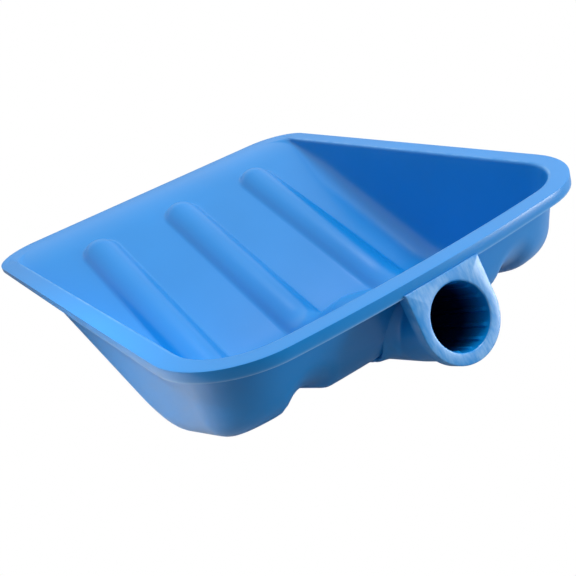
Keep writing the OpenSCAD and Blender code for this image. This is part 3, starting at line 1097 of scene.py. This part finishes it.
@dataclass(frozen=True)
class Plastic:
    """Semi-gloss dyed plastic, scuffed pale on cut faces, with pale highlights painted along the rim's
    edges and painted shade deep in the bore.

    The pale and the dark follow three marks on the points: scuff where a face is scuffed and where a
    highlight is painted along the rim's inner edge, edge along the skirt's lower edge, where a pale
    line is painted that is partly wear and partly highlight, and inside, the painted shade, which
    grows with the depth of the bore.
    """

    name: str
    colour: Tone = Tone.BLUE
    tint: tuple[float, float] = (0.92, 1.10)
    roughness: tuple[float, float] = (0.25, 0.35)
    streaks: tuple[float, float] = (0.10, 0.75)
    edge_power: float = 6.0
    bump: float = 0.10
    bump_depth: float = 0.8 * MM

    def _shade(self, share: float) -> tuple[float, float, float, float]:
        """The plastic's colour made lighter or darker."""
        red, green, blue, _ = self.colour.value
        return red * share, green * share, blue * share, 1.0

    def _wear_and_highlight(self, kit: NodeTree, streaks: bpy.types.NodeSocket) -> bpy.types.NodeSocket:
        """How pale the plastic is: scuffs on cut faces, a highlight painted along the rim's inner edge,
        and a line along the skirt's lower edge that is partly wear and partly painted highlight.

        Args:
            kit: The material's tree.
            streaks: The streak mask.

        Returns:
            The mask of wear and painted highlight.
        """
        # the scuff mark holds scuffed faces and the highlight painted along the rim's inner edge
        whitish = kit.add("ShaderNodeAttribute", attribute_name="scuff_and_highlight")
        # edge: the pale line along the skirt's lower edge, partly wear and partly painted highlight
        edge = kit.add("ShaderNodeAttribute", attribute_name="edge")
        low, high = self.streaks
        level = kit.add("ShaderNodeMapRange", {"To Min": low, "To Max": high})
        streaked = kit.add("ShaderNodeMath", operation="MULTIPLY")
        line = kit.add("ShaderNodeMath", {1: self.edge_power}, operation="POWER")
        most = kit.add("ShaderNodeMath", operation="MAXIMUM")
        kit.link(
            (streaks, level.inputs["Value"]),
            (whitish.outputs["Fac"], streaked.inputs[0]),
            (level.outputs["Result"], streaked.inputs[1]),
            (edge.outputs["Fac"], line.inputs[0]),
            (streaked.outputs[0], most.inputs[0]),
            (line.outputs[0], most.inputs[1]),
        )
        return most.outputs[0]

    def make(self, flow: bpy.types.NodeTree, scuffs: bpy.types.NodeTree) -> bpy.types.Material:
        """Builds the material.

        Args:
            flow: The shared group of moulding marks.
            scuffs: The shared group of scraped streaks.

        Returns:
            The material.
        """
        material = bpy.data.materials.new(self.name)
        material.use_nodes = True
        kit = NodeTree(material.node_tree)
        out = kit.add("ShaderNodeOutputMaterial")
        body = kit.add("ShaderNodeBsdfPrincipled", {"IOR": 1.5, "Specular IOR Level": 0.5})
        place = kit.add("ShaderNodeTexCoord")
        marks = kit.add("ShaderNodeGroup", node_tree=flow)
        streaks = kit.add("ShaderNodeGroup", node_tree=scuffs)
        # the inside mark carries the painted shade deep in the bore
        deep = kit.add("ShaderNodeAttribute", attribute_name="inside")
        low, high = (self._shade(share) for share in self.tint)
        dyed = kit.add("ShaderNodeMix", {"A": low, "B": high}, data_type="RGBA")
        # pale: scuffs, and the highlights painted along the rim's edges
        pale = kit.add("ShaderNodeMix", {"B": Tone.SCUFF.value}, data_type="RGBA")
        # painted shade: the colour is mixed towards the dark tone by the inside mark
        dark = kit.add("ShaderNodeMix", {"B": Tone.DARK.value}, data_type="RGBA")
        low, high = self.roughness
        rough = kit.add("ShaderNodeMapRange", {"To Min": low, "To Max": high})
        bump = kit.add("ShaderNodeBump", {"Strength": self.bump, "Distance": self.bump_depth})
        kit.link(
            (place.outputs["Object"], marks.inputs["Vector"]),
            (place.outputs["Object"], streaks.inputs["Vector"]),
            (marks.outputs["Cloud"], dyed.inputs["Factor"]),
            (marks.outputs["Cloud"], rough.inputs["Value"]),
            (marks.outputs["Height"], bump.inputs["Height"]),
            (dyed.outputs["Result"], pale.inputs["A"]),
            (self._wear_and_highlight(kit, streaks.outputs["Streaks"]), pale.inputs["Factor"]),
            (pale.outputs["Result"], dark.inputs["A"]),
            (deep.outputs["Fac"], dark.inputs["Factor"]),
            (dark.outputs["Result"], body.inputs["Base Color"]),
            (rough.outputs["Result"], body.inputs["Roughness"]),
            (bump.outputs["Normal"], body.inputs["Normal"]),
            (body.outputs["BSDF"], out.inputs["Surface"]),
        )
        return material


def dress(obj: bpy.types.Object, material: bpy.types.Material) -> None:
    """Puts one finish on the whole of obj."""
    obj.data.materials.clear()
    obj.data.materials.append(material)


# ---------------------------------------------------------------------------------------------
# Studio
# ---------------------------------------------------------------------------------------------


@dataclass(frozen=True)
class Lamp:
    """One soft light: its place and size in metres, power in watts and spread in degrees."""

    name: str
    place: tuple[float, float, float]
    size: tuple[float, float]
    power: float
    target: tuple[float, float, float] = (0.0, 0.0, 0.06)
    spread: float = 180.0

    def hang(self) -> None:
        """Adds the lamp and turns it to its target."""
        bpy.ops.object.light_add(type="AREA", location=self.place)
        lamp = bpy.context.object
        lamp.name = self.name
        lamp.data.shape = "RECTANGLE"
        lamp.data.size, lamp.data.size_y = self.size
        lamp.data.energy = self.power
        lamp.data.spread = math.radians(self.spread)
        way = Vector(self.target) - Vector(self.place)
        lamp.rotation_euler = way.to_track_quat("-Z", "Y").to_euler()


@dataclass
class Studio:
    """A pale floor, soft lights and the camera."""

    eye: Vector = field(default_factory=lambda: Vector((0.21872, 0.36218, 0.37310)))
    right: Vector = field(default_factory=lambda: Vector((-0.80232, 0.59100, -0.08370)))
    down: Vector = field(default_factory=lambda: Vector((0.43716, 0.48632, -0.75656)))
    lens: float = 52.08
    lamps: tuple[Lamp, ...] = (
        Lamp("key", (-0.46, -0.36, 1.32), (0.45, 0.45), 11.0),
        Lamp("near", (0.60, 0.05, 0.80), (0.12, 0.25), 0.80, (0.30, 0.05, 0.0), 18.0),
        Lamp("back", (-0.85, 0.75, 0.30), (0.4, 0.4), 7.5, (0.0, 0.17, 0.08)),
    )
    bright: float = 1.05
    dim: float = 0.16
    bright_side: tuple[float, float, float] = (-0.55, -0.80, 0.25)

    def floor(self) -> bpy.types.Object:
        """Lays the floor."""
        bpy.ops.mesh.primitive_plane_add(size=40.0, location=(0.0, 0.0, -0.0005))
        plane = bpy.context.object
        plane.name = "studio_floor"
        material = bpy.data.materials.new("pale_floor")
        material.use_nodes = True
        kit = NodeTree(material.node_tree)
        out = kit.add("ShaderNodeOutputMaterial")
        matte = kit.add("ShaderNodeBsdfDiffuse", {"Color": Tone.FLOOR.value})
        glow = kit.add("ShaderNodeEmission", {"Color": Tone.WHITE.value, "Strength": 1.0})
        self._seen(kit, matte.outputs["BSDF"], glow.outputs["Emission"], out)
        plane.data.materials.append(material)
        return plane

    def _seen(
        self, kit: NodeTree, real: bpy.types.NodeSocket, seen: bpy.types.NodeSocket, out: bpy.types.Node
    ) -> None:
        """Sends one shader to the camera and another to all the other light.

        Args:
            kit: The tree to work in.
            real: The shader that lights and shades the scoop.
            seen: The shader that the camera sees.
            out: The output node.
        """
        ray = kit.add("ShaderNodeLightPath")
        pick = kit.add("ShaderNodeMixShader")
        kit.link(
            (ray.outputs["Is Camera Ray"], pick.inputs["Fac"]),
            (real, pick.inputs[1]),
            (seen, pick.inputs[2]),
            (pick.outputs["Shader"], out.inputs["Surface"]),
        )

    def world(self) -> None:
        """Fills the room with soft white light, brighter in front of the scoop than behind it."""
        world = bpy.data.worlds.new("studio")
        bpy.context.scene.world = world
        world.use_nodes = True
        kit = NodeTree(world.node_tree)
        out = kit.add("ShaderNodeOutputWorld")
        way = kit.add("ShaderNodeTexCoord")
        side = kit.add("ShaderNodeVectorMath", {1: self.bright_side}, operation="DOT_PRODUCT")
        level = kit.add(
            "ShaderNodeMapRange",
            {"From Min": -0.8, "From Max": 0.5, "To Min": self.dim, "To Max": self.bright},
            interpolation_type="SMOOTHSTEP",
        )
        light = kit.add("ShaderNodeBackground", {"Color": Tone.WHITE.value})
        seen = kit.add("ShaderNodeBackground", {"Color": Tone.WHITE.value})
        kit.link(
            (way.outputs["Generated"], side.inputs[0]),
            (side.outputs["Value"], level.inputs["Value"]),
            (level.outputs["Result"], light.inputs["Strength"]),
        )
        self._seen(kit, light.outputs["Background"], seen.outputs["Background"], out)

    def camera(self) -> None:
        """Sets the camera where it looks over the socket into the pan."""
        bpy.ops.object.camera_add(location=self.eye)
        camera = bpy.context.object
        camera.name = "camera"
        camera.data.lens = self.lens
        camera.data.sensor_width = 36.0
        right = self.right.normalized()
        up = -(self.down - right * self.down.dot(right)).normalized()
        back = right.cross(up)
        turn = Matrix((right, up, back)).transposed()
        camera.rotation_euler = turn.to_euler()
        bpy.context.scene.camera = camera

    def build(self) -> bpy.types.Object:
        """Sets up the whole studio and returns its floor."""
        self.world()
        for lamp in self.lamps:
            lamp.hang()
        self.camera()
        bpy.context.scene.view_settings.view_transform = "Standard"
        return self.floor()


def main() -> None:
    """Builds the scoop head, dresses it and sets up the studio."""
    logging.basicConfig(level=logging.INFO, format="%(message)s")
    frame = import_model()
    pose = Pose.read(frame["record"])
    log.info("rim tilt %.3f, origin %s", math.degrees(pose.tilt), tuple(pose.origin))
    plastic = Plastic("scoop_blue").make(flow_group(), scuff_group())
    socket_nodes = [node for node in frame["nodes"] if node.startswith(("socket", "grip"))]
    pan_nodes = [node for node in frame["nodes"] if node not in socket_nodes]

    shape = Pan()
    pan = shape.build()
    pose.place(pan)
    dress(pan, plastic)
    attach(pan, BODY)
    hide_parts(*pan_nodes)
    log.info("pan: %d faces", len(pan.data.polygons))

    socket = Socket(shape.floor).build()
    pose.place(socket)
    dress(socket, plastic)
    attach(socket, BODY)
    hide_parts(*socket_nodes)
    log.info("socket: %d faces", len(socket.data.polygons))

    Studio().build()


if __name__ == "__main__":
    main()
